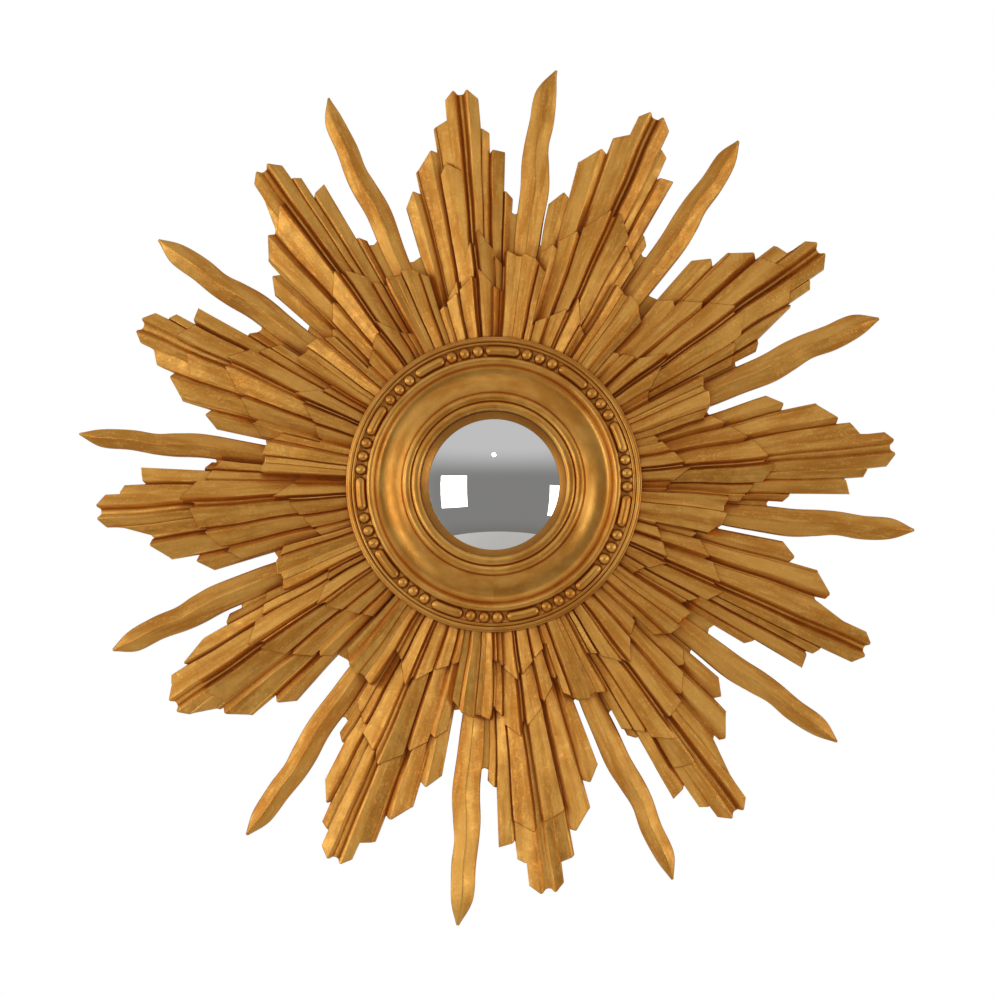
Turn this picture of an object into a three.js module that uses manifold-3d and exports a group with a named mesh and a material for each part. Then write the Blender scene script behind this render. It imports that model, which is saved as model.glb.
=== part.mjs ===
// Sunburst wall mirror: carved gilt rays and flames, a turned round frame and a convex glass.
// Millimetres. The back lies in the plane y = 0 against the wall, the front faces -Y, +Z is up.
// Angles are in degrees, clockwise from the top as seen from the front.
import * as THREE from 'three';
import { mergeVertices } from 'three/addons/utils/BufferGeometryUtils.js';
import Module from 'manifold-3d';

const wasm = await Module();
wasm.setup();

// Driving dimensions
const GAP = 0.3; // clearance between neighbouring pieces
const TOLERANCE = 0.2; // joined surfaces are kept to this
const FRAME_RADIUS = 130.8; // outside of the round frame
const SIGHT_RADIUS = 64.5; // inside edge of the round frame, where the glass shows
const SEAT_HEIGHT = 12; // thickness of the board behind the round frame
const ROOT_RADIUS = 118; // where every reed starts, hidden under the round frame
const SEAT_DEPTH = 60; // clear of every reed
const BOARD_RADIUS = 150; // plain disc that ties the roots together
const REACH = 350; // radius at which the heights of the carving are given
const RISE = 0.024; // the carving rises this much towards the middle, mm per mm
const TIER_LIFT = 4; // each inner tier lies this much above the one outside it
const WEB_HEIGHT = 5; // wood left between rays and flames
const WEB_HOLLOW = 3; // how far the end of that wood is hollowed out
const WEB_UNDER_FLAME = 1.2; // degrees from a flame's axis at which it ends, inside the flame
const WEB_UNDER_LEFT = -12; // degrees from a bundle's axis at which it ends, inside the bundle
const WEB_UNDER_RIGHT = 8;

// One row for each bundle of rays: the angle of its axis, then the radius at which each part ends,
// the twin tip, the steps and the gap on its left, those on its right, and the two inner tiers.
const BUNDLE_COLUMNS = ['axis', 'tip', 'left1', 'left1Edge', 'left2', 'left3', 'leftGap',
  'right1', 'right2', 'right2Edge', 'right3', 'rightGap', 'middle', 'inner'];
const BUNDLES = [
  [-5.0, 354, 328, 322, 304, 272, 212, 318, 299, 297, 262, 242, 224, 192],
  [23.6, 360, 334, 326, 314, 268, 216, 333, 310, 313, 258, 242, 266, 178],
  [54.1, 358, 331, 326, 309, 278, 217, 333, 308, 268, 266, 238, 268, 190],
  [84.7, 356, 327, 319, 310, 266, 198, 330, 311, 314, 261, 241, 248, 172],
  [113.9, 361, 331, 299, 312, 273, 200, 322, 314, 316, 267, 228, 222, 168],
  [143.5, 362, 332, 294, 303, 274, 226, 341, 316, 319, 256, 224, 270, 195],
  [172.5, 364, 338, 334, 314, 276, 201, 335, 317, 320, 267, 250, 222, 172],
  [203.2, 362, 338, 332, 310, 274, 200, 338, 318, 300, 264, 244, 265, 191],
  [235.6, 346, 335, 314, 313, 272, 202, 336, 318, 291, 267, 248, 257, 187],
  [266.2, 355, 334, 306, 311, 273, 202, 333, 313, 315, 258, 248, 276, 191],
  [294.4, 348, 327, 319, 305, 265, 206, 326, 306, 308, 257, 250, 264, 190],
  [323.8, 352, 328, 298, 301, 272, 216, 328, 306, 309, 252, 240, 236, 176],
];

// One row for each flame: axis angle, tip angle, tip radius and how its width compares with the sections'.
const FLAMES = [
  [7.0, 8.4, 374, 1.02], [35.7, 35.3, 375, 1.0], [66.2, 66.6, 371, 1.08],
  [96.6, 96.2, 373, 1.0], [126.8, 126.9, 378, 0.92], [155.3, 155.7, 382, 0.92],
  [184.6, 184.8, 390, 1.04], [215.2, 215.4, 379, 0.97], [247.2, 246.8, 369, 1.06],
  [277.2, 277.3, 373, 0.87], [306.4, 306.2, 372, 1.02], [336.2, 336.8, 377, 0.92],
];

// The carving of one bundle, the same on all of them before their lengths are cut: its arrises
// and valleys in turn from left to right. Each line gives its angle from the axis, its height,
// the column that it ends at, and how far beyond that end it runs.
const RAY_LINES = [
  [-12.8, 5.4, 'left3', -13], [-10.4, 9.4, 'left3', 0], [-9.1, 6.0, 'left3', -4],
  [-9.0, 6.6, 'left2', -17], [-5.8, 10.8, 'left2', 0], [-4.8, 7.2, 'left2', -3],
  [-4.7, 8.0, 'left1Edge', 0], [-2.4, 10.4, 'left1', 0],
  [-2.3, 10.6, 'tip', -8], [-0.9, 12.6, 'tip', 0], [-0.35, 9.4, 'tip', -4], [0.0, 11.0, 'tip', -5],
  [0.35, 9.4, 'tip', -4], [0.9, 12.6, 'tip', 0], [2.6, 10.4, 'tip', -9],
  [2.7, 10.2, 'right1', 0], [4.1, 8.6, 'right1', -4],
  [4.2, 7.8, 'right2', -3], [4.7, 10.0, 'right2', 0], [6.8, 7.2, 'right2Edge', 0],
  [6.9, 6.6, 'right3', 0], [7.3, 8.4, 'right3', 0], [8.7, 5.6, 'right3', -6],
];

// The middle and inner tiers lie over the rays like shingles and step back to both sides.
const TIER_LINES = [
  [-12.7, 7.0, -51], [-10.4, 9.8, -42], [-9.1, 6.8, -45],
  [-9.0, 7.4, -37], [-5.8, 11.2, -25], [-4.9, 7.8, -29],
  [-4.8, 8.6, -20], [-0.9, 12.6, 0], [-0.35, 9.4, -3], [0.0, 11.0, -6], [0.35, 9.4, -3],
  [0.9, 12.6, 1], [4.4, 8.6, -16],
  [4.5, 8.0, -27], [4.9, 10.6, -23], [8.7, 7.0, -34],
];
const INNER_STEP = 0.5; // the inner tier steps back this much of what the middle one does
const MIDDLE_TURN = 0.4; // each tier was carved a little out of line with the rays, degrees
const INNER_TURN = -0.22;

// The inner tier also runs across the foot of each flame, angles from the flame's axis.
const FOOT_LINES = [
  [-4.2, 9.0, 203], [-3.6, 12.4, 208], [0.0, 11.2, 204],
  [0.1, 11.4, 207], [3.4, 13.0, 204], [6.4, 9.2, 194],
];

// A flame from root to tip: radius, sideways sway of its ridge, half width, ridge and edge height.
const FLAME_SECTIONS = [
  [160, 1.5, 8.0, 14.0, 10.5],
  [225, 2.4, 11.0, 13.6, 9.4],
  [262, 3.2, 12.0, 13.2, 8.6],
  [286, 0.8, 11.8, 12.8, 8.4],
  [304, -0.7, 10.6, 12.0, 8.0],
  [326, 0.6, 10.4, 11.2, 7.6],
  [352, -0.8, 9.0, 9.6, 6.6],
  [372, 0.0, 1.0, 6.4, 5.4],
];
const FLAME_STEPS = 8;
const FLAME_LENGTH = 372; // tip radius that the sections are drawn for
const FLAME_BEND = 6; // how sharply a flame turns towards its tip angle

// The round frame's front, from its outside to the sight edge: radius and height over the wall.
const FRAME_PROFILE = [
  [130.8, 26.6], [128.8, 29.0], [123.4, 29.0], [122.4, 27.4], [113.2, 27.4],
  [112.8, 30.4], [110.6, 32.2], [107.0, 31.8], [105.2, 30.0], [104.6, 28.4], [98.0, 28.0],
  [91.0, 29.4], [85.4, 31.6], [81.0, 34.4], [79.8, 37.0], [76.8, 38.6], [74.0, 38.0],
  [72.4, 36.0], [70.6, 38.2], [67.2, 38.6], [SIGHT_RADIUS, 36.6],
];
const FRAME_SIDES = 33;
const LIP_HEIGHT = 27.8; // underside of the sight edge, over the glass
const REBATE_RADIUS = 69.2; // room for the glass behind the sight edge

// Bead-and-reel: groups of three beads and one bar, all round the channel.
const BEAD_GROUPS = 11;
const BEAD_GROUP_START = 20.3; // angle of the middle bead of the first group
const BEAD_CIRCLE = 117.8;
const BEAD_RADIUS = 5.3;
const BEAD_PITCH = 5.8; // degrees
const BEAD_HEIGHT = 27.8; // centre over the wall
const BAR_RADIUS = 4.6;
const BAR_LENGTH = 30.5;
const BEAD_SIDES = 6;
const BEAD_RINGS = 3;

// Convex glass
const GLASS_CURVE = 145; // radius of the front
const GLASS_THICKNESS = 3;
const GLASS_RADIUS = 68.4;
const GLASS_SIDES = 20;
const GLASS_RINGS = 3;

const gilt = new THREE.MeshStandardMaterial({ color: 0xac7830, metalness: 0.85, roughness: 0.45 });
const giltFrame = new THREE.MeshStandardMaterial({ color: 0xb58238, metalness: 0.85, roughness: 0.38 });
const silvered = new THREE.MeshStandardMaterial({ color: 0xd8d8d6, metalness: 1.0, roughness: 0.04 });

const radians = THREE.MathUtils.degToRad;

// A point at a radius, an angle and a height over the wall.
function place(radius, angle, height) {
  const turn = radians(angle);
  return [radius * Math.sin(turn), -height, radius * Math.cos(turn)];
}

// A geometry as a manifold solid.
function toSolid(geometry) {
  const bare = geometry.clone();
  bare.deleteAttribute('normal');
  bare.deleteAttribute('uv');
  const merged = mergeVertices(bare, 1e-4);
  const vertProperties = new Float32Array(merged.attributes.position.array);
  const triVerts = new Uint32Array(merged.index.array);
  return new wasm.Manifold(new wasm.Mesh({ numProp: 3, vertProperties, triVerts }));
}

// A manifold solid as a geometry.
function toGeometry(solid) {
  const mesh = solid.getMesh();
  const geometry = new THREE.BufferGeometry();
  geometry.setAttribute('position', new THREE.BufferAttribute(new Float32Array(mesh.vertProperties), 3));
  geometry.setIndex(new THREE.BufferAttribute(new Uint32Array(mesh.triVerts), 1));
  geometry.computeVertexNormals();
  return geometry;
}

// Joins solids pair by pair.
function joinAll(solids) {
  let row = solids;
  while (row.length > 1) {
    const next = [];
    for (let i = 0; i < row.length; i += 2) {
      next.push(i + 1 < row.length ? row[i].add(row[i + 1]) : row[i]);
    }
    row = next;
  }
  return row[0];
}

// A closed solid through rings of equal length, each ring running round the section.
function loft(rings) {
  const count = rings[0].length;
  const index = [];
  for (let s = 0; s + 1 < rings.length; s += 1) {
    for (let i = 0; i < count; i += 1) {
      const a = s * count + i;
      const b = s * count + (i + 1) % count;
      index.push(a, a + count, b, b, a + count, b + count);
    }
  }
  const last = (rings.length - 1) * count;
  for (let i = 0; i < count / 2 - 1; i += 1) {
    const j = count - 1 - i;
    index.push(i, i + 1, j, i + 1, j - 1, j);
    index.push(last + i, last + j, last + i + 1, last + i + 1, last + j, last + j - 1);
  }
  const geometry = new THREE.BufferGeometry();
  geometry.setAttribute('position', new THREE.Float32BufferAttribute(rings.flat(2), 3));
  geometry.setIndex(index);
  return geometry;
}

// A fan of carving: lines of angle, height and end radius, running out from the root.
function fan(axis, lines, lift) {
  const top = ([angle, high], radius) => place(radius, axis + angle, lift + high + RISE * (REACH - radius));
  const back = ([angle], radius) => place(radius, axis + angle, 0);
  const ring = (radiusOf) => [
    ...lines.map((line) => back(line, radiusOf(line))),
    ...lines.toReversed().map((line) => top(line, radiusOf(line))),
  ];
  return toSolid(loft([ring(() => ROOT_RADIUS), ring(([, , end]) => end)]));
}

// A low web that closes the gap between two angles out to an end radius, with a hollowed bottom.
function web(from, to, end) {
  const middle = (from + to) / 2;
  const side = end + WEB_HOLLOW;
  return fan(0, [[from, WEB_HEIGHT, side], [middle, WEB_HEIGHT, end], [to, WEB_HEIGHT, side]], 0);
}

function bundleSolids(row, flameBefore, flameAfter) {
  const size = Object.fromEntries(BUNDLE_COLUMNS.map((name, i) => [name, row[i]]));
  const rays = RAY_LINES.map(([angle, high, column, more]) => [angle, high, size[column] + more]);
  const middle = TIER_LINES.map(([angle, high, back]) => [angle, high, size.middle + back]);
  const inner = TIER_LINES.map(([angle, high, back]) => [angle, high, size.inner + back * INNER_STEP]);
  return [
    fan(size.axis, rays, 0),
    fan(size.axis + MIDDLE_TURN, middle, TIER_LIFT),
    fan(size.axis + INNER_TURN, inner, 2 * TIER_LIFT),
    web(flameBefore, size.axis + WEB_UNDER_LEFT, size.leftGap),
    web(size.axis + WEB_UNDER_RIGHT, flameAfter, size.rightGap),
  ];
}

function flameSolids([axis, tipAngle, tipRadius, width]) {
  const start = FLAME_SECTIONS[0][0];
  const stretch = (tipRadius - start) / (FLAME_LENGTH - start);
  const curve = (points) => new THREE.CatmullRomCurve3(points);
  const route = curve(FLAME_SECTIONS.map(([r, sway, half]) => new THREE.Vector3(r, sway, half)));
  const tops = curve(FLAME_SECTIONS.map(([r, , , ridge, edge]) => new THREE.Vector3(r, ridge, edge)));
  const rings = [];
  for (let i = 0; i <= FLAME_STEPS; i += 1) {
    const along = i / FLAME_STEPS;
    const { x, y: sway, z: drawnHalf } = route.getPoint(along);
    const half = drawnHalf * width;
    const { y: ridge, z: edge } = tops.getPoint(along);
    const radius = start + (x - start) * stretch;
    const lean = (tipAngle - axis) * along ** FLAME_BEND;
    const angleAt = (side) => axis + lean + THREE.MathUtils.radToDeg((sway + side) / radius);
    rings.push([
      place(radius, angleAt(-half), 0),
      place(radius, angleAt(0), 0),
      place(radius, angleAt(half), 0),
      place(radius, angleAt(half), edge),
      place(radius, angleAt(0), ridge),
      place(radius, angleAt(-half), edge),
    ]);
  }
  return [toSolid(loft(rings)), fan(axis, FOOT_LINES, 2 * TIER_LIFT)];
}

// A turned solid about the axis through the wall, from a profile of radius and height.
function turned(profile, sides) {
  const points = profile.map(([radius, height]) => new THREE.Vector2(radius, height));
  const geometry = new THREE.LatheGeometry(points, sides);
  return geometry.rotateX(Math.PI);
}

// A plain turned disc between two heights.
function disc(radius, low, high) {
  return toSolid(turned([[0, low], [radius, low], [radius, high], [0, high]], FRAME_SIDES));
}

function sunburstGeometry() {
  const solids = [disc(BOARD_RADIUS, 0, SEAT_HEIGHT)];
  BUNDLES.forEach((row, i) => {
    const before = i > 0 ? FLAMES[i - 1][0] : FLAMES.at(-1)[0] - 360;
    const after = FLAMES[i][0];
    solids.push(...bundleSolids(row, before + WEB_UNDER_FLAME, after - WEB_UNDER_FLAME));
  });
  FLAMES.forEach((row) => solids.push(...flameSolids(row)));
  const seat = disc(FRAME_RADIUS + GAP, SEAT_HEIGHT, SEAT_DEPTH);
  return toGeometry(joinAll(solids).subtract(seat).asOriginal().simplify(TOLERANCE));
}

// A bead or bar set in the channel of the round frame at an angle.
function onFrame(geometry, angle) {
  geometry.rotateY(radians(angle));
  return toSolid(geometry.translate(...place(BEAD_CIRCLE, angle, BEAD_HEIGHT)));
}

function roundFrameGeometry() {
  const back = SEAT_HEIGHT + GAP;
  const closed = [
    [REBATE_RADIUS, back], [FRAME_RADIUS, back], ...FRAME_PROFILE,
    [SIGHT_RADIUS, LIP_HEIGHT], [REBATE_RADIUS, LIP_HEIGHT], [REBATE_RADIUS, back],
  ];
  const solids = [toSolid(turned(closed, FRAME_SIDES))];
  const groupAngle = 360 / BEAD_GROUPS;
  for (let group = 0; group < BEAD_GROUPS; group += 1) {
    const middle = BEAD_GROUP_START + group * groupAngle;
    for (const step of [-1, 0, 1]) {
      const bead = new THREE.SphereGeometry(BEAD_RADIUS, BEAD_SIDES, BEAD_RINGS);
      solids.push(onFrame(bead, middle + step * BEAD_PITCH));
    }
    const bar = new THREE.CapsuleGeometry(BAR_RADIUS, BAR_LENGTH - 2 * BAR_RADIUS, 1, BEAD_SIDES);
    solids.push(onFrame(bar.rotateZ(Math.PI / 2), middle + groupAngle / 2));
  }
  return toGeometry(joinAll(solids).asOriginal().simplify(TOLERANCE));
}

function glassGeometry() {
  const centre = LIP_HEIGHT - GAP - Math.sqrt(GLASS_CURVE ** 2 - SIGHT_RADIUS ** 2);
  const arc = (curve) => {
    const points = [];
    for (let i = 0; i <= GLASS_RINGS; i += 1) {
      const radius = GLASS_RADIUS * i / GLASS_RINGS;
      points.push([radius, centre + Math.sqrt(curve ** 2 - radius ** 2)]);
    }
    return points;
  };
  const back = arc(GLASS_CURVE - GLASS_THICKNESS);
  const front = arc(GLASS_CURVE);
  return turned([...back, ...front.reverse()], GLASS_SIDES);
}

function part(name, geometry, material) {
  const mesh = new THREE.Mesh(geometry, material);
  mesh.name = name;
  return mesh;
}

const mirror = new THREE.Group();
mirror.add(part('sunburst', sunburstGeometry(), gilt));
mirror.add(part('round_frame', roundFrameGeometry(), giltFrame));
mirror.add(part('mirror_glass', glassGeometry(), silvered));

export default mirror;
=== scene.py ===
"""Sunburst wall mirror: carved gilt rays and flames, a turned gilt frame and a convex glass.

Sizes are in millimetres and become metres where meshes are made. The back lies in the plane y = 0,
the front faces -Y and +Z is up. Angles are in degrees, clockwise from the top seen from the front.
"""

import math

import bpy
import numpy as np
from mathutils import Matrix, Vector


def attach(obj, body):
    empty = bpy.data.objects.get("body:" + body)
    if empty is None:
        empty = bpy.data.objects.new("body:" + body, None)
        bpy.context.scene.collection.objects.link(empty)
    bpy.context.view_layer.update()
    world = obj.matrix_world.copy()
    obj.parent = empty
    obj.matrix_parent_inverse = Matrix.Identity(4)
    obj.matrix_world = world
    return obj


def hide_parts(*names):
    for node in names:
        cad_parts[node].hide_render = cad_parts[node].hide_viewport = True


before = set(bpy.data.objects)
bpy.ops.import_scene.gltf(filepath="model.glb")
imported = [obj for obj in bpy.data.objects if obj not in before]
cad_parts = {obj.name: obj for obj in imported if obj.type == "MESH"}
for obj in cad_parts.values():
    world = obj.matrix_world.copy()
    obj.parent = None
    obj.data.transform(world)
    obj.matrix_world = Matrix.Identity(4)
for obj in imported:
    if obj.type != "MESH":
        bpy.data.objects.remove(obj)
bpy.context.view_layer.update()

MM = 0.001
SEED = 41

# Sizes shared by the whole sunburst
GAP = 0.3
FRAME_RADIUS = 130.8
SIGHT_RADIUS = 64.5
SEAT_HEIGHT = 12.0
SEAT_DEPTH = 60.0
ROOT_RADIUS = 118.0
BOARD_RADIUS = 150.0
REACH = 350.0  # radius at which the heights of the carving are given
RISE = 0.024  # rise of the carving towards the middle, mm per mm
TIER_LIFT = 4.0
LEAF_LIFT = 2.2
WEB_HEIGHT = 5.0
WEB_HOLLOW = 3.0
WEB_UNDER_FLAME = 1.2
WEB_UNDER_LEFT = -12.0
WEB_UNDER_RIGHT = 8.0

# Carver's hand
STATION = 6.0  # distance between the stations along a reed
EASE_ANGLE = 0.13  # half the width of the eased top of an arris
END_EASE = 0.7  # the edge of a cut end is eased by this much
FACET_JITTER = 1.0  # heights of the arrises differ by this much from bundle to bundle
WANDER = 0.5  # sideways wander of the carved lines
SURFACE_WAVE = 0.22  # depth of the uneven, hand-cut facets
WANDER_SIZE = 70.0  # lengths of the wander, of the broad waves and of the short ones
BROAD_SIZE = 45.0
SHORT_SIZE = 16.0
SHORT_SHARE = 0.6
FRAME_CLEAR = 12.0  # the carver's hand sets in over this distance from the round frame
BACK_CLEAR = (2.0, 5.0)  # and between these heights over the wall
SHARP_ANGLE = 34.0  # edges over this angle stay sharp
FACET_WEIGHT = 60  # how much large facets keep themselves flat

# One row for each bundle of rays: axis angle, then the radius at which each part ends.
BUNDLE_COLUMNS = (
    "axis", "tip", "left1", "left1_edge", "left2", "left3", "left_gap",
    "right1", "right2", "right2_edge", "right3", "right_gap",
    "middle_left", "middle_left_edge", "middle_right", "middle_right_edge",
    "inner_left", "inner_left_edge", "inner_right", "inner_right_edge",
)
BUNDLES = (
    (-5.0, 354, 328, 322, 304, 272, 212, 318, 299, 297, 262, 242, 217, 189, 228, 210, 186, 176, 192, 180),
    (23.6, 360, 334, 326, 314, 268, 216, 333, 310, 313, 258, 242, 265, 242, 266, 250, 168, 158, 181, 164),
    (54.1, 358, 331, 326, 309, 278, 217, 333, 308, 268, 266, 238, 266, 250, 270, 255, 193, 171, 181, 164),
    (84.7, 356, 327, 319, 310, 266, 198, 330, 311, 314, 261, 241, 244, 233, 249, 237, 170, 162, 174, 160),
    (113.9, 361, 331, 299, 312, 273, 200, 322, 314, 316, 267, 228, 218, 206, 224, 214, 166, 158, 168, 156),
    (143.5, 362, 332, 294, 303, 274, 226, 341, 316, 319, 256, 224, 257, 253, 275, 263, 198, 182, 193, 179),
    (172.5, 364, 338, 334, 314, 276, 201, 335, 317, 320, 267, 250, 215, 202, 224, 212, 170, 160, 174, 164),
    (203.2, 362, 338, 332, 310, 274, 200, 338, 318, 300, 264, 244, 268, 252, 258, 248, 187, 174, 194, 179),
    (235.6, 346, 335, 314, 313, 272, 202, 336, 318, 291, 267, 248, 252, 238, 260, 243, 184, 174, 189, 173),
    (266.2, 355, 334, 306, 311, 273, 202, 333, 313, 315, 258, 248, 271, 265, 280, 264, 182, 174, 196, 180),
    (294.4, 348, 327, 319, 305, 265, 206, 326, 306, 308, 257, 250, 262, 243, 264, 248, 184, 170, 194, 177),
    (323.8, 352, 328, 298, 301, 272, 216, 328, 306, 309, 252, 240, 238, 222, 233, 218, 170, 164, 179, 162),
)

# One row for each flame: axis angle, tip angle, tip radius, and its width as a share of the sections'.
FLAMES = (
    (7.0, 8.4, 374, 1.02), (35.7, 35.3, 375, 1.0), (66.2, 66.6, 371, 1.08),
    (96.6, 96.2, 373, 1.0), (126.8, 126.9, 378, 0.92), (155.3, 155.7, 382, 0.92),
    (184.6, 184.8, 390, 1.04), (215.2, 215.4, 379, 0.97), (247.2, 246.8, 369, 1.06),
    (277.2, 277.3, 373, 0.87), (306.4, 306.2, 372, 1.02), (336.2, 336.8, 377, 0.92),
)

# Arrises and cuts of one bundle, left to right: angle from the axis, height, end column, run past it.
RAY_LINES = (
    (-12.8, 5.4, "left3", -13), (-12.6, 5.9, "left3", -12),
    (-10.4, 9.6, "left3", 0), (-9.2, 5.6, "left3", -4),
    (-9.0, 6.6, "left2", -17), (-8.75, 7.5, "left2", -16), (-8.5, 6.9, "left2", -15),
    (-5.8, 11.0, "left2", 0), (-4.85, 6.8, "left2", -3),
    (-4.7, 7.8, "left1_edge", 0), (-4.45, 8.8, "left1_edge", 1), (-4.2, 8.0, "left1_edge", 2),
    (-2.45, 10.4, "left1", 0), (-2.3, 10.0, "tip", -8),
    (-0.95, 12.8, "tip", 0), (-0.45, 9.2, "tip", -4), (0.0, 11.2, "tip", -5),
    (0.45, 9.2, "tip", -4), (0.95, 12.8, "tip", 0), (2.6, 10.2, "tip", -9),
    (2.7, 9.6, "right1", 0), (2.95, 10.2, "right1", 0), (4.05, 8.4, "right1", -4),
    (4.2, 7.4, "right2", -3), (4.7, 10.2, "right2", 0), (6.8, 7.2, "right2_edge", 0),
    (6.95, 6.4, "right3", 0), (7.4, 8.6, "right3", 0),
    (8.5, 5.9, "right3", -5), (8.7, 5.5, "right3", -6),
)

# The same for the middle and inner tiers: angle, height, column ending, run past it.
TIER_LINES = (
    (-12.7, 7.0, "left_edge", -31), (-10.4, 9.8, "left_edge", -22), (-9.2, 6.4, "left_edge", -25),
    (-9.0, 7.4, "left_edge", -17), (-5.8, 11.4, "left_edge", -5), (-4.95, 7.4, "left_edge", -9),
    (-4.75, 8.4, "left_edge", 0), (-0.95, 12.8, "left", 0), (-0.45, 9.2, "left", -3),
    (0.0, 11.2, "left", -6), (0.45, 9.2, "right", -3), (0.95, 12.8, "right", 0),
    (4.35, 8.6, "right_edge", 0),
    (4.55, 7.6, "right_edge", -11), (4.95, 10.8, "right_edge", -7), (6.6, 8.2, "right_edge", -13),
    (6.75, 7.6, "right_edge", -16), (7.1, 9.4, "right_edge", -15), (8.7, 7.0, "right_edge", -20),
)
INNER_STEP = 0.5  # the inner tier's side reeds step back this much of what the middle one's do
MIDDLE_TURN = 0.4
INNER_TURN = -0.22

# Extra leaves over the rays: bundle, then angle, height and end of the left edge, arris and right edge.
LEAVES = (
    (0, (-4.8, 8.4, 281), (-3.6, 11.4, 290), (-1.05, 12.0, 281)),
    (2, (-4.4, 8.6, 310), (-0.95, 12.8, 322), (-0.5, 9.4, 319)),
    (2, (0.5, 9.4, 318), (0.95, 12.8, 321), (3.9, 8.8, 307)),
    (5, (0.5, 9.4, 300), (0.95, 12.8, 303), (4.0, 8.8, 296)),
    (6, (-4.5, 8.6, 294), (-0.95, 12.8, 301), (-0.5, 9.4, 298)),
    (6, (0.5, 9.4, 305), (0.95, 12.8, 309), (4.2, 8.8, 297)),
    (8, (-4.3, 8.6, 306), (-0.95, 12.8, 315), (-0.5, 9.4, 312)),
    (8, (0.5, 9.4, 311), (0.95, 12.8, 313), (4.0, 8.8, 305)),
    (10, (-4.3, 8.6, 288), (-0.95, 12.8, 298), (-0.5, 9.4, 295)),
    (10, (0.5, 9.4, 309), (0.95, 12.8, 313), (4.0, 8.8, 303)),
    (11, (-4.3, 8.6, 297), (-0.95, 12.8, 316), (-0.5, 9.4, 313)),
)

# The inner tier across the foot of each flame, angles from the flame's axis: angle, height, end.
FOOT_LINES = (
    (-4.2, 9.0, 203), (-3.6, 12.4, 208), (-1.6, 10.0, 205), (-1.4, 11.0, 204),
    (0.0, 11.4, 204), (0.15, 10.6, 206), (0.5, 11.8, 207), (3.4, 13.2, 204),
    (4.4, 9.8, 200), (4.6, 10.6, 199), (6.4, 9.2, 194),
)

# A flame from root to tip: radius, sideways sway of its ridge, half width, ridge and edge height.
FLAME_SECTIONS = (
    (160, 1.5, 8.0, 15.0, 10.5),
    (225, 2.4, 11.0, 15.2, 9.4),
    (262, 3.2, 12.0, 15.0, 8.6),
    (286, 0.8, 11.8, 14.6, 8.4),
    (304, -0.7, 10.6, 13.6, 8.0),
    (326, 0.6, 10.4, 12.8, 7.6),
    (352, -0.8, 9.0, 11.0, 6.6),
    (372, 0.0, 1.0, 6.6, 5.4),
)
FLAME_STEPS = 64
FLAME_LENGTH = 372.0
FLAME_BEND = 6
FLAME_EASE = 0.9  # half the width of the eased arris and edges

# Smooth runs of the round frame's front, from outside to sight edge, with a sharp line where two meet.
FRAME_RUNS = (
    ((130.8, 26.6), (130.2, 27.4), (129.2, 27.6)),
    ((129.2, 27.6), (128.9, 28.6), (127.7, 29.2), (126.4, 28.9), (125.7, 28.0)),
    ((125.7, 28.0), (125.2, 28.9), (124.1, 29.2), (122.9, 28.8), (122.4, 27.6)),
    ((122.4, 27.6), (119.8, 27.2), (116.0, 27.2), (113.2, 27.4)),
    ((113.2, 27.4), (112.8, 30.2), (110.8, 32.0), (108.2, 31.9), (106.0, 30.4), (103.8, 28.2),
     (100.8, 26.8), (97.0, 26.6), (92.0, 27.3), (87.0, 29.0), (83.4, 31.0), (81.6, 32.4)),
    ((81.6, 32.4), (80.8, 35.6), (79.2, 37.8), (76.8, 38.5), (74.0, 38.0), (72.4, 36.4)),
    ((72.4, 36.4), (71.8, 37.7), (70.0, 38.5), (67.2, 38.5), (65.2, 37.6), (64.5, 36.2)),
)
RUN_STEPS = 7  # points on each stretch of a run
FRAME_SIDES = 200
LIP_HEIGHT = 27.8
REBATE_RADIUS = 69.2

# Bead-and-reel: groups of three beads and one bar
BEAD_GROUPS = 11
BEAD_GROUP_START = 20.3
BEAD_CIRCLE = 117.8
BEAD_RADIUS = 5.3
BEAD_PITCH = 5.8
BEAD_HEIGHT = 27.8
BEAD_SIDES = 20
BEAD_RINGS = 12
BAR_RADIUS = 4.6
BAR_LENGTH = 30.5
BAR_STEPS = 18
BEAD_JITTER = 0.04  # sizes differ by this share
BEAD_WANDER = 0.3  # places differ by these degrees
BEAD_END = 0.97  # share of a bead's length to its last ring
BAR_END = 0.15  # the same for a bar, as a length left off
BAR_END_AREA = 0.02

# Convex glass
GLASS_CURVE = 145.0
GLASS_THICKNESS = 3.0
GLASS_RADIUS = 68.4
GLASS_SIDES = 144
GLASS_RINGS = 28


def place(radius, angle, height):
    """Points at radii, angles and heights over the wall."""
    turn = np.radians(angle)
    return np.stack(np.broadcast_arrays(radius * np.sin(turn), -height, radius * np.cos(turn)), axis=-1)


def make_object(name, points, faces):
    """A mesh object from points in millimetres."""
    mesh = bpy.data.meshes.new(name)
    mesh.from_pydata((np.asarray(points) * MM).tolist(), [], [list(face) for face in faces])
    mesh.update()
    thing = bpy.data.objects.new(name, mesh)
    bpy.context.scene.collection.objects.link(thing)
    return thing


def ripple(points, size, seed, waves=7):
    """A smooth random field of about -1 to 1 over the points, with waves of about this size."""
    random = np.random.default_rng(SEED + seed)
    total = np.zeros(len(points))
    for _ in range(waves):
        heading = random.normal(size=3)
        heading *= 2 * math.pi / size * random.uniform(0.6, 1.5) / np.linalg.norm(heading)
        total += np.sin(points @ heading + random.uniform(0, 2 * math.pi))
    return total / math.sqrt(waves)


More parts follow.
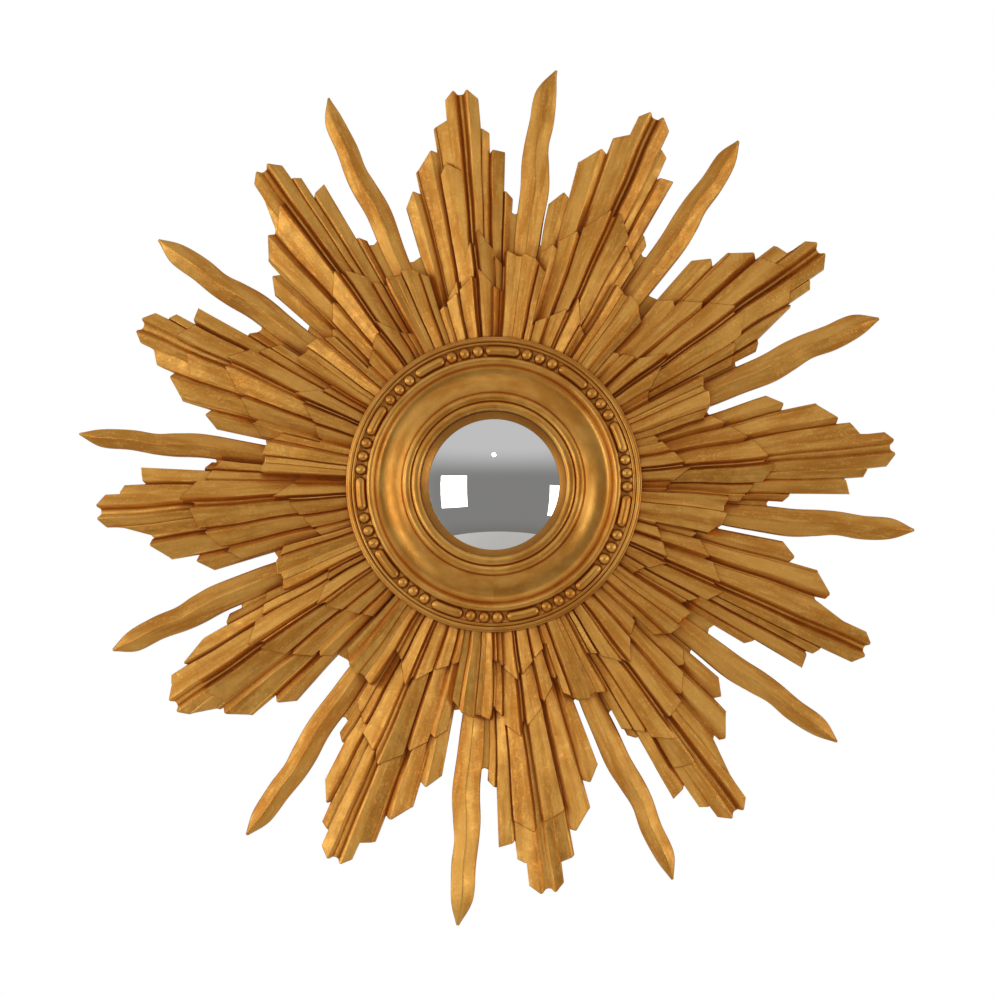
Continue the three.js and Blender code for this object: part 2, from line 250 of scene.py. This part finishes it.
def eased(lines):
    """Lines of angle, height and end, with each arris cut back to a narrow flat."""
    lines = np.asarray(lines, float)
    out = [lines[0]]
    for before, line, after in zip(lines, lines[1:], lines[2:]):
        if line[1] > before[1] and line[1] > after[1]:
            for side in (before, after):
                share = min(EASE_ANGLE / abs(side[0] - line[0]), 0.3)
                out.append(line + (side - line) * share)
        else:
            out.append(line)
    out.append(lines[-1])
    return np.array(out)


def fan(name, axis, lines, lift):
    """A closed fan of reeds from lines of angle, height and end radius."""
    lines = eased(lines)
    angle = axis + lines[:, 0]
    high = lift + lines[:, 1]
    end = lines[:, 2]
    steps = max(3, math.ceil((end.max() - ROOT_RADIUS) / STATION))
    along = np.linspace(0, 1, steps)
    radius = ROOT_RADIUS + np.outer(end - END_EASE - ROOT_RADIUS, along)
    radius = np.column_stack([radius, end])
    height = high[:, None] + RISE * (REACH - radius)
    height[:, -1] -= END_EASE
    count, stations = radius.shape
    top = place(radius, angle[:, None], height).reshape(-1, 3)
    root = place(np.full(count, ROOT_RADIUS), angle, np.zeros(count))
    foot = place(end, angle, np.zeros(count))
    points = np.concatenate([top, root, foot])
    at_root = count * stations
    at_foot = at_root + count
    faces = []
    for i in range(count - 1):
        a = i * stations
        b = a + stations
        faces += [(a + j, b + j, b + j + 1, a + j + 1) for j in range(stations - 1)]
        faces.append((at_root + i, at_foot + i, at_foot + i + 1, at_root + i + 1))
        faces.append((a + stations - 1, b + stations - 1, at_foot + i + 1, at_foot + i))
        faces.append((at_root + i, at_root + i + 1, b, a))
    last = (count - 1) * stations
    faces.append((at_root, *range(stations), at_foot))
    faces.append((at_root + count - 1, at_foot + count - 1, *range(last + stations - 1, last - 1, -1)))
    return make_object(name, points, faces)


def loft(name, rings):
    """A closed object through rings of equal length, with flat ends."""
    rings = np.asarray(rings)
    count = rings.shape[1]
    faces = []
    for s in range(len(rings) - 1):
        for i in range(count):
            a = s * count + i
            b = s * count + (i + 1) % count
            faces.append((a, a + count, b + count, b))
    last = (len(rings) - 1) * count
    faces.append(tuple(range(count)))
    faces.append(tuple(range(last + count - 1, last - 1, -1)))
    return make_object(name, rings.reshape(-1, 3), faces)


def turned(name, profile, sides):
    """A closed ring or disc turned about the axis through the wall, from a loop of radius and height."""
    profile = np.asarray(profile, float)
    turns = np.arange(sides) * 360 / sides
    points = []
    rows = []
    for radius, height in profile:
        if radius < 1e-6:
            rows.append([len(points)] * sides)
            points.append((0.0, -height, 0.0))
        else:
            rows.append(list(range(len(points), len(points) + sides)))
            points.extend(place(np.full(sides, radius), turns, np.full(sides, height)))
    faces = []
    for low, high in zip(rows, rows[1:] + rows[:1]):
        for i in range(sides):
            j = (i + 1) % sides
            face = dict.fromkeys((low[i], low[j], high[j], high[i]))
            if len(face) > 2:
                faces.append(tuple(face))
    return make_object(name, points, faces)


def joined(name, things, cut=None):
    """One mesh object from closed, overlapping ones, less a cutter."""
    group = bpy.data.collections.new(name + ".group")
    bpy.context.scene.collection.children.link(group)
    base, *others = things
    for thing in others:
        bpy.context.scene.collection.objects.unlink(thing)
        group.objects.link(thing)
    union = base.modifiers.new("union", "BOOLEAN")
    union.solver = "MANIFOLD"
    union.operation = "UNION"
    union.operand_type = "COLLECTION"
    union.collection = group
    if cut is not None:
        minus = base.modifiers.new("cut", "BOOLEAN")
        minus.solver = "MANIFOLD"
        minus.operation = "DIFFERENCE"
        minus.object = cut
    graph = bpy.context.evaluated_depsgraph_get()
    mesh = bpy.data.meshes.new_from_object(base.evaluated_get(graph))
    mesh.name = name
    for thing in (*things, cut):
        if thing is not None:
            bpy.data.meshes.remove(thing.data)
    bpy.data.collections.remove(group)
    whole = bpy.data.objects.new(name, mesh)
    bpy.context.scene.collection.objects.link(whole)
    return whole


def get_points(thing):
    """The object's points in millimetres."""
    flat = np.empty(len(thing.data.vertices) * 3)
    thing.data.vertices.foreach_get("co", flat)
    return flat.reshape(-1, 3) / MM


def set_points(thing, points):
    thing.data.vertices.foreach_set("co", (points * MM).ravel())
    thing.data.update()


def shade(thing):
    """Smooth shading that keeps sharp edges and flat facets."""
    mesh = thing.data
    mesh.polygons.foreach_set("use_smooth", np.ones(len(mesh.polygons), bool))
    mesh.set_sharp_from_angle(angle=math.radians(SHARP_ANGLE))
    weighted = thing.modifiers.new("facets", "WEIGHTED_NORMAL")
    weighted.keep_sharp = True
    weighted.weight = FACET_WEIGHT


# Sunburst
def jittered(lines, random):
    """Lines whose heights differ a little, as no two were cut alike."""
    lines = np.array(lines, float)
    lines[:, 1] += random.uniform(-FACET_JITTER, FACET_JITTER, len(lines))
    return lines


def tier_rows(size, tier, step):
    """Lines of the middle or inner tier of one bundle."""
    return [
        (angle, high, size[f"{tier}_{column}"] + past * step)
        for angle, high, column, past in TIER_LINES
    ]


def web(name, start, stop, end):
    middle = (start + stop) / 2
    side = end + WEB_HOLLOW
    lines = ((start, WEB_HEIGHT, side), (middle, WEB_HEIGHT, end), (stop, WEB_HEIGHT, side))
    return fan(name, 0, lines, 0)


def bundle(index, flame_before, flame_after):
    """All fans of one bundle of rays."""
    random = np.random.default_rng(SEED * 100 + index)
    size = dict(zip(BUNDLE_COLUMNS, BUNDLES[index]))
    axis = size["axis"]
    rays = [(angle, high, size[column] + past) for angle, high, column, past in RAY_LINES]
    middle = tier_rows(size, "middle", 1)
    inner = tier_rows(size, "inner", INNER_STEP)
    fans = [
        fan("rays", axis, jittered(rays, random), 0),
        fan("middle", axis + MIDDLE_TURN, jittered(middle, random), TIER_LIFT),
        fan("inner", axis + INNER_TURN, jittered(inner, random), 2 * TIER_LIFT),
        web("left_web", flame_before, axis + WEB_UNDER_LEFT, size["left_gap"]),
        web("right_web", axis + WEB_UNDER_RIGHT, flame_after, size["right_gap"]),
    ]
    for owner, *lines in LEAVES:
        if owner == index:
            fans.append(fan("leaf", axis, jittered(lines, random), LEAF_LIFT))
    return fans


def spline(rows, count):
    """Points on a smooth curve through the rows, evenly spread over the stretches between them."""
    rows = np.asarray(rows, float)
    padded = np.vstack([2 * rows[0] - rows[1], rows, 2 * rows[-1] - rows[-2]])
    out = []
    for t in np.linspace(0, len(rows) - 1, count):
        i = min(int(t), len(rows) - 2)
        u = t - i
        a, b, c, d = padded[i:i + 4]
        out.append(0.5 * (2 * b + (c - a) * u + (2 * a - 5 * b + 4 * c - d) * u**2
                          + (3 * b - a - 3 * c + d) * u**3))
    return np.array(out)


def flame(index):
    """A wavy flame with an eased ridge and edges, and the reeding across its foot."""
    axis, tip_angle, tip_radius, width = FLAMES[index]
    random = np.random.default_rng(SEED * 200 + index)
    start = FLAME_SECTIONS[0][0]
    stretch = (tip_radius - start) / (FLAME_LENGTH - start)
    rings = []
    for i, (drawn, sway, half, ridge, edge) in enumerate(spline(FLAME_SECTIONS, FLAME_STEPS + 1)):
        half *= width
        radius = start + (drawn - start) * stretch
        lean = (tip_angle - axis) * (i / FLAME_STEPS) ** FLAME_BEND
        ease = min(FLAME_EASE, half * 0.4)
        fall = (ridge - edge) * ease / half
        section = (
            (-half, 0), (half, 0),
            (half, edge - ease), (half - ease, edge + fall), (ease, ridge - fall),
            (-ease, ridge - fall), (ease - half, edge + fall), (-half, edge - ease),
        )
        side, height = np.array(section).T
        rings.append(place(radius, axis + lean + np.degrees((sway + side) / radius), height))
    foot = fan("foot", axis, jittered(FOOT_LINES, random), 2 * TIER_LIFT)
    return [loft("flame", rings), foot]


def disc(name, radius, low, high):
    return turned(name, ((0, low), (radius, low), (radius, high), (0, high)), FRAME_SIDES)


def hand_carved(thing):
    """Lets the carved lines wander and the facets undulate, and leaves the back flat."""
    points = get_points(thing)
    radius = np.hypot(points[:, 0], points[:, 2])
    turn = np.arctan2(points[:, 0], points[:, 2])
    clear = np.clip((radius - FRAME_RADIUS - 1) / FRAME_CLEAR, 0, 1)
    turn += clear * WANDER * ripple(points, WANDER_SIZE, 1) / np.maximum(radius, 1)
    high = -points[:, 1]
    low, full = BACK_CLEAR
    worked = clear * np.clip((high - low) / (full - low), 0, 1)
    waves = ripple(points, BROAD_SIZE, 2) + SHORT_SHARE * ripple(points, SHORT_SIZE, 3)
    high += worked * SURFACE_WAVE * waves
    set_points(thing, np.stack([radius * np.sin(turn), -high, radius * np.cos(turn)], axis=-1))


def make_sunburst():
    pieces = [disc("board", BOARD_RADIUS, 0, SEAT_HEIGHT)]
    for index in range(len(BUNDLES)):
        before = FLAMES[index - 1][0] - (360 if index == 0 else 0)
        after = FLAMES[index][0]
        pieces += bundle(index, before + WEB_UNDER_FLAME, after - WEB_UNDER_FLAME)
        pieces += flame(index)
    seat = disc("seat", FRAME_RADIUS + GAP, SEAT_HEIGHT, SEAT_DEPTH)
    whole = joined("carved_sunburst", pieces, seat)
    hand_carved(whole)
    shade(whole)
    return whole


# Round frame
def bead(angle, size):
    """A bead as rings along the circle of beads."""
    rings = []
    for along in np.linspace(-BEAD_END, BEAD_END, BEAD_RINGS):
        reach = math.sqrt(1 - along**2) * BEAD_RADIUS * size
        rings.append(bead_ring(angle + math.degrees(along * BEAD_RADIUS * size / BEAD_CIRCLE), reach))
    return loft("bead", rings)


def bead_ring(angle, reach):
    around = np.arange(BEAD_SIDES) * 2 * math.pi / BEAD_SIDES
    return place(BEAD_CIRCLE + reach * np.cos(around), angle, BEAD_HEIGHT + reach * np.sin(around))


def bar(angle, size):
    """A bar bent along the circle of beads, with round ends."""
    rings = []
    half = BAR_LENGTH / 2 * size
    straight = half - BAR_RADIUS
    for along in np.sin(np.linspace(-1, 1, BAR_STEPS) * math.pi / 2) * (half - BAR_END):
        into = max(0.0, abs(along) - straight) / BAR_RADIUS
        reach = BAR_RADIUS * math.sqrt(max(BAR_END_AREA, 1 - into**2))
        rings.append(bead_ring(angle + math.degrees(along / BEAD_CIRCLE), reach))
    return loft("bar", rings)


def make_round_frame():
    random = np.random.default_rng(SEED + 7)
    back = SEAT_HEIGHT + GAP
    front = [spline(run, (len(run) - 1) * RUN_STEPS + 1) for run in FRAME_RUNS]
    front = [front[0], *(run[1:] for run in front[1:])]
    profile = np.vstack([
        ((REBATE_RADIUS, back), (FRAME_RADIUS, back)), *front,
        ((SIGHT_RADIUS, LIP_HEIGHT), (REBATE_RADIUS, LIP_HEIGHT)),
    ])
    pieces = [turned("ring", profile, FRAME_SIDES)]
    group_angle = 360 / BEAD_GROUPS
    for group in range(BEAD_GROUPS):
        middle = BEAD_GROUP_START + group * group_angle + random.uniform(-BEAD_WANDER, BEAD_WANDER)
        sizes = 1 + random.uniform(-BEAD_JITTER, BEAD_JITTER, 4)
        for step, size in zip((-1, 0, 1), sizes):
            pieces.append(bead(middle + step * BEAD_PITCH, size))
        pieces.append(bar(middle + group_angle / 2, sizes[-1]))
    whole = joined("turned_frame", pieces)
    shade(whole)
    return whole


# Glass
def make_glass():
    centre = LIP_HEIGHT - GAP - math.sqrt(GLASS_CURVE**2 - SIGHT_RADIUS**2)
    radius = GLASS_RADIUS * np.linspace(0, 1, GLASS_RINGS)
    back = np.column_stack([radius, centre + np.sqrt((GLASS_CURVE - GLASS_THICKNESS) ** 2 - radius**2)])
    front = np.column_stack([radius, centre + np.sqrt(GLASS_CURVE**2 - radius**2)])
    glass = turned("convex_glass", np.vstack([back, front[::-1]]), GLASS_SIDES)
    shade(glass)
    return glass


# Materials
class Nodes:
    """Short calls for building the node tree of a material or the world."""

    def __init__(self, owner):
        owner.use_nodes = True
        self.owner = owner
        self.tree = owner.node_tree
        self.tree.nodes.clear()

    def add(self, kind, inputs=None, **settings):
        node = self.tree.nodes.new(kind)
        for key, value in settings.items():
            setattr(node, key, value)
        for key, value in (inputs or {}).items():
            self.feed(node.inputs[key], value)
        return node

    def feed(self, socket, value):
        if isinstance(value, bpy.types.NodeSocket):
            self.tree.links.new(value, socket)
        else:
            socket.default_value = value

    def math(self, operation, first, second=0.0, clamp=False):
        node = self.add("ShaderNodeMath", {0: first, 1: second}, operation=operation, use_clamp=clamp)
        return node.outputs[0]

    def mix(self, share, first, second):
        node = self.add("ShaderNodeMix", data_type="RGBA")
        self.feed(node.inputs[0], share)
        self.feed(node.inputs[6], first)
        self.feed(node.inputs[7], second)
        return node.outputs[2]

    def span(self, value, low, high, to_low=0.0, to_high=1.0):
        """Maps a range of values smoothly to another."""
        inputs = {
            "Value": value, "From Min": low, "From Max": high, "To Min": to_low, "To Max": to_high,
        }
        return self.add("ShaderNodeMapRange", inputs, interpolation_type="SMOOTHSTEP").outputs[0]

    def noise(self, vector, scale, detail=3.0, roughness=0.55):
        inputs = {"Vector": vector, "Scale": scale, "Detail": detail, "Roughness": roughness}
        return self.add("ShaderNodeTexNoise", inputs).outputs["Fac"]

    def finish(self, shader):
        self.add("ShaderNodeOutputMaterial", {"Surface": shader})
        return self.owner


GOLD = (0.78, 0.39, 0.075, 1)
GOLD_PALE = (0.9, 0.53, 0.13, 1)
GOLD_DEEP = (0.6, 0.24, 0.03, 1)
GOLD_SHADE = (0.48, 0.19, 0.026, 1)
BOLE = (0.44, 0.14, 0.026, 1)
PAINTED_SHADE_REACH = 0.016  # painted shade darkens the hollows over this distance
WORN_REACH = 0.0016  # arrises are worn over this distance
MOTTLE_SCALE = 110.0
FLECK_SCALE = 420.0
LEAF_RELIEF = 0.0005
LEAF_STRENGTH = 0.45
BARE_BACK = (-0.0016, -0.0004)  # the gold ends and bare wood begins this close to the wall
WOOD = (0.23, 0.13, 0.06, 1)
WOOD_DARK = (0.11, 0.055, 0.025, 1)


def gilt_material(name, along, across, roughness, recess, painted_shade_from, wear):
    """Gold leaf over red clay, with patches, painted shade in the hollows, red in the cuts and bare wood
    behind.

    The patches are drawn out along the radius or around it, by the two scales.
    """
    n = Nodes(bpy.data.materials.new(name))
    where = n.add("ShaderNodeTexCoord").outputs["Object"]
    x, y, z = n.add("ShaderNodeSeparateXYZ", {0: where}).outputs
    radius = n.math("SQRT", n.math("ADD", n.math("MULTIPLY", x, x), n.math("MULTIPLY", z, z)))
    turn = n.math("ARCTAN2", x, z)
    polar = n.add("ShaderNodeCombineXYZ", {
        0: n.math("MULTIPLY", radius, along),
        1: n.math("MULTIPLY", turn, across),
        2: n.math("MULTIPLY", y, 60.0),
    }).outputs[0]
    patch = n.noise(polar, 1.0, 2.0, 0.5)
    streak = n.noise(polar, 4.0, 4.0, 0.6)
    mottle = n.noise(where, MOTTLE_SCALE, 4.0, 0.65)
    fleck = n.noise(where, FLECK_SCALE, 3.0, 0.7)

    colour = n.mix(n.span(patch, 0.34, 0.66), GOLD_DEEP, GOLD)
    pale = n.math("ADD", n.math("MULTIPLY", streak, 0.5), n.math("MULTIPLY", fleck, 0.5))
    colour = n.mix(n.span(pale, 0.48, 0.66, 0.0, 0.6 * wear), colour, GOLD_PALE)
    # Painted shade: where other surfaces close in within a short reach, a darker gold is mixed in as shade
    # in the hollows and beside the steps
    lit = n.add("ShaderNodeAmbientOcclusion", {"Distance": PAINTED_SHADE_REACH}, samples=8).outputs["AO"]
    colour = n.mix(n.span(lit, 0.96, painted_shade_from, 0.0, 0.8), colour, GOLD_SHADE)
    open_share = n.add("ShaderNodeAmbientOcclusion", {"Distance": recess}, samples=8).outputs["AO"]
    hidden = n.math("ADD", n.math("SUBTRACT", 1.0, open_share), n.math("MULTIPLY", mottle, 0.3))
    bole = n.span(hidden, 0.55, 1.0)
    thin = n.add("ShaderNodeAmbientOcclusion", {"Distance": WORN_REACH}, samples=4, inside=True)
    worn = thin.outputs["AO"]
    edge = n.span(n.math("SUBTRACT", mottle, n.math("MULTIPLY", worn, 0.55)), 0.18, 0.34, 0.0, 0.5)
    red = n.math("MAXIMUM", bole, edge)
    colour = n.mix(red, colour, BOLE)

    ragged = n.math("MULTIPLY", n.math("SUBTRACT", mottle, 0.5), 0.004)
    behind = n.span(n.math("ADD", y, ragged), *BARE_BACK)
    stripes = n.add("ShaderNodeCombineXYZ", {
        0: n.math("MULTIPLY", x, 9.0), 1: n.math("MULTIPLY", y, 9.0), 2: n.math("MULTIPLY", z, 0.7),
    }).outputs[0]
    wood = n.mix(n.span(n.noise(stripes, 14.0, 6.0, 0.65), 0.35, 0.7), WOOD_DARK, WOOD)
    colour = n.mix(behind, colour, wood)

    leaf = n.math("SUBTRACT", 1.0, n.math("MULTIPLY", red, 0.5))
    metal = n.math("MULTIPLY", n.math("SUBTRACT", 1.0, behind), leaf)
    rough = n.span(mottle, 0.3, 0.7, roughness - 0.09 * wear, roughness + 0.09 * wear)
    rough = n.math("ADD", rough, n.math("MULTIPLY", red, 0.15))
    rough = n.math("ADD", rough, n.math("MULTIPLY", behind, 0.35), clamp=True)
    relief = n.math("ADD", n.math("MULTIPLY", streak, 0.5), n.math("ADD", mottle, fleck))
    bump = n.add("ShaderNodeBump", {
        "Strength": LEAF_STRENGTH * wear, "Distance": LEAF_RELIEF, "Height": relief,
    }).outputs[0]
    shader = n.add("ShaderNodeBsdfPrincipled", {
        "Base Color": colour, "Metallic": metal, "Roughness": rough, "Normal": bump,
        "Coat Weight": 0.25, "Coat Roughness": 0.35,
    })
    return n.finish(shader.outputs[0])


def glass_material():
    """Silvered glass, a little foxed and dusty towards its edge."""
    n = Nodes(bpy.data.materials.new("looking_glass"))
    where = n.add("ShaderNodeTexCoord").outputs["Object"]
    x, _, z = n.add("ShaderNodeSeparateXYZ", {0: where}).outputs
    radius = n.math("SQRT", n.math("ADD", n.math("MULTIPLY", x, x), n.math("MULTIPLY", z, z)))
    speck = n.noise(where, 160.0, 5.0, 0.7)
    rim = n.span(n.math("ADD", radius, n.math("MULTIPLY", speck, 0.008)), 0.062, 0.072)
    colour = n.mix(rim, (0.86, 0.86, 0.85, 1), (0.62, 0.58, 0.52, 1))
    rough = n.span(speck, 0.4, 0.8, 0.012, 0.03)
    shader = n.add("ShaderNodeBsdfPrincipled", {
        "Base Color": colour, "Metallic": 1.0, "Roughness": rough,
    })
    return n.finish(shader.outputs[0])


def floor_material():
    n = Nodes(bpy.data.materials.new("pale_floor"))
    where = n.add("ShaderNodeTexCoord").outputs["Object"]
    colour = n.mix(n.noise(where, 6.0), (0.74, 0.73, 0.71, 1), (0.8, 0.79, 0.77, 1))
    shader = n.add("ShaderNodeBsdfPrincipled", {"Base Color": colour, "Roughness": 0.7})
    return n.finish(shader.outputs[0])


# Pieces on the frame
def dress(piece, node, material):
    piece.data.materials.clear()
    piece.data.materials.append(material)
    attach(piece, "root")
    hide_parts(node)


# The setting after recess is the occlusion level at which painted shade in the hollows begins
carved_gilt = gilt_material(
    "carved_gilt", along=14.0, across=26.0, roughness=0.44, recess=0.007, painted_shade_from=0.3, wear=1.0)
turned_gilt = gilt_material(
    "turned_gilt", along=60.0, across=2.5, roughness=0.36, recess=0.002, painted_shade_from=0.72, wear=0.4)
dress(make_sunburst(), "sunburst", carved_gilt)
dress(make_round_frame(), "round_frame", turned_gilt)
dress(make_glass(), "mirror_glass", glass_material())


# Stage: floor, light and camera, in metres
FLOOR_DROP = 0.62
FLOOR_RADIUS = 0.9
FLOOR_FORWARD = 0.1  # its middle lies this far in front of the wall
FLOOR_SIDES = 96
FLOOR_TONE = (0.2, 0.19, 0.18, 1)
WALL_TONE = (0.24, 0.238, 0.235, 1)
CEILING_TONE = (0.6, 0.6, 0.61, 1)
SIDE_TONE = (0.52, 0.52, 0.52, 1)
FLOOR_SPAN = (-0.55, -0.35)  # where the room's tones change, as heights of the direction to it
CEILING_SPAN = (0.12, 0.5)
SIDE_SPAN = (-0.75, -0.1)  # from the dim front to the pale sides, along the mirror's axis

# One row for each light: bearing to the right of the axis, elevation, distance, width, height, power, shape.
LIGHTS = {
    "left_window": (-31, -2, 2.2, 0.75, 0.85, 6.5, "RECTANGLE"),
    "right_window": (44, -8, 2.2, 0.4, 0.8, 4.2, "RECTANGLE"),
    "left_side": (-75, 4, 2.0, 1.2, 1.6, 8, "RECTANGLE"),
    "right_side": (78, 4, 2.0, 1.2, 1.6, 6, "RECTANGLE"),
    "lamp": (-2, 24, 2.2, 0.1, 0.1, 0.6, "ELLIPSE"),
}


def make_floor():
    rim = [(FLOOR_RADIUS * math.sin(a), FLOOR_RADIUS * math.cos(a) - FLOOR_FORWARD, 0.0)
           for a in np.arange(FLOOR_SIDES) * 2 * math.pi / FLOOR_SIDES]
    mesh = bpy.data.meshes.new("floor")
    mesh.from_pydata(rim, [], [tuple(reversed(range(FLOOR_SIDES)))])
    mesh.materials.append(floor_material())
    floor = bpy.data.objects.new("floor", mesh)
    floor.location.z = -FLOOR_DROP
    bpy.context.scene.collection.objects.link(floor)


def direction(bearing, elevation):
    """A direction in front of the mirror, in degrees to the right of its axis and above it."""
    side = math.radians(bearing)
    up = math.radians(elevation)
    return Vector((math.sin(side) * math.cos(up), -math.cos(side) * math.cos(up), math.sin(up)))


def area_light(name, bearing, elevation, distance, width, height, power, shape):
    """A soft light aimed at the mirror."""
    data = bpy.data.lights.new(name, "AREA")
    data.shape = shape
    data.size = width
    data.size_y = height
    data.energy = power
    light = bpy.data.objects.new(name, data)
    light.location = distance * direction(bearing, elevation)
    light.rotation_euler = (-light.location).to_track_quat("-Z", "Y").to_euler()
    bpy.context.scene.collection.objects.link(light)


def make_world():
    """White behind the object, and for its light a dim room with a pale ceiling and pale sides."""
    world = bpy.data.worlds.new("studio")
    bpy.context.scene.world = world
    n = Nodes(world)
    where = n.add("ShaderNodeTexCoord").outputs["Generated"]
    _, y, z = n.add("ShaderNodeSeparateXYZ", {0: where}).outputs
    room = n.mix(n.span(z, *FLOOR_SPAN), FLOOR_TONE, WALL_TONE)
    room = n.mix(n.span(z, *CEILING_SPAN), room, CEILING_TONE)
    room = n.mix(n.span(y, *SIDE_SPAN), room, SIDE_TONE)
    seen = n.add("ShaderNodeLightPath").outputs["Is Camera Ray"]
    background = n.add("ShaderNodeBackground", {"Color": n.mix(seen, room, (1, 1, 1, 1))})
    n.add("ShaderNodeOutputWorld", {"Surface": background.outputs[0]})


CAMERA_DISTANCE = 5.0
CAMERA_RIGHT = 2.5  # degrees to the right of the mirror's axis
CAMERA_BELOW = 3.5  # degrees below it
PIXEL = 0.887 * MM  # one pixel of the photograph at the mirror
IMAGE_WIDTH = 994
IMAGE_HEIGHT = 995
CENTRE_PIXEL = (495, 486)  # where the mirror's axis meets the sunburst


def make_camera():
    data = bpy.data.cameras.new("camera")
    camera = bpy.data.objects.new("camera", data)
    bpy.context.scene.collection.objects.link(camera)
    away = direction(CAMERA_RIGHT, -CAMERA_BELOW)
    column, row = CENTRE_PIXEL
    aim = PIXEL * Vector((IMAGE_WIDTH / 2 - column, 0, row - IMAGE_HEIGHT / 2))
    camera.location = aim + away * CAMERA_DISTANCE
    camera.rotation_euler = (-away).to_track_quat("-Z", "Y").to_euler()
    data.sensor_width = 36
    data.sensor_fit = "HORIZONTAL"
    data.lens = data.sensor_width * CAMERA_DISTANCE / (IMAGE_WIDTH * PIXEL)
    data.clip_end = 50
    bpy.context.scene.camera = camera


make_floor()
make_world()
make_camera()
for name, row in LIGHTS.items():
    area_light(name, *row)
bpy.context.scene.view_settings.view_transform = "Standard"
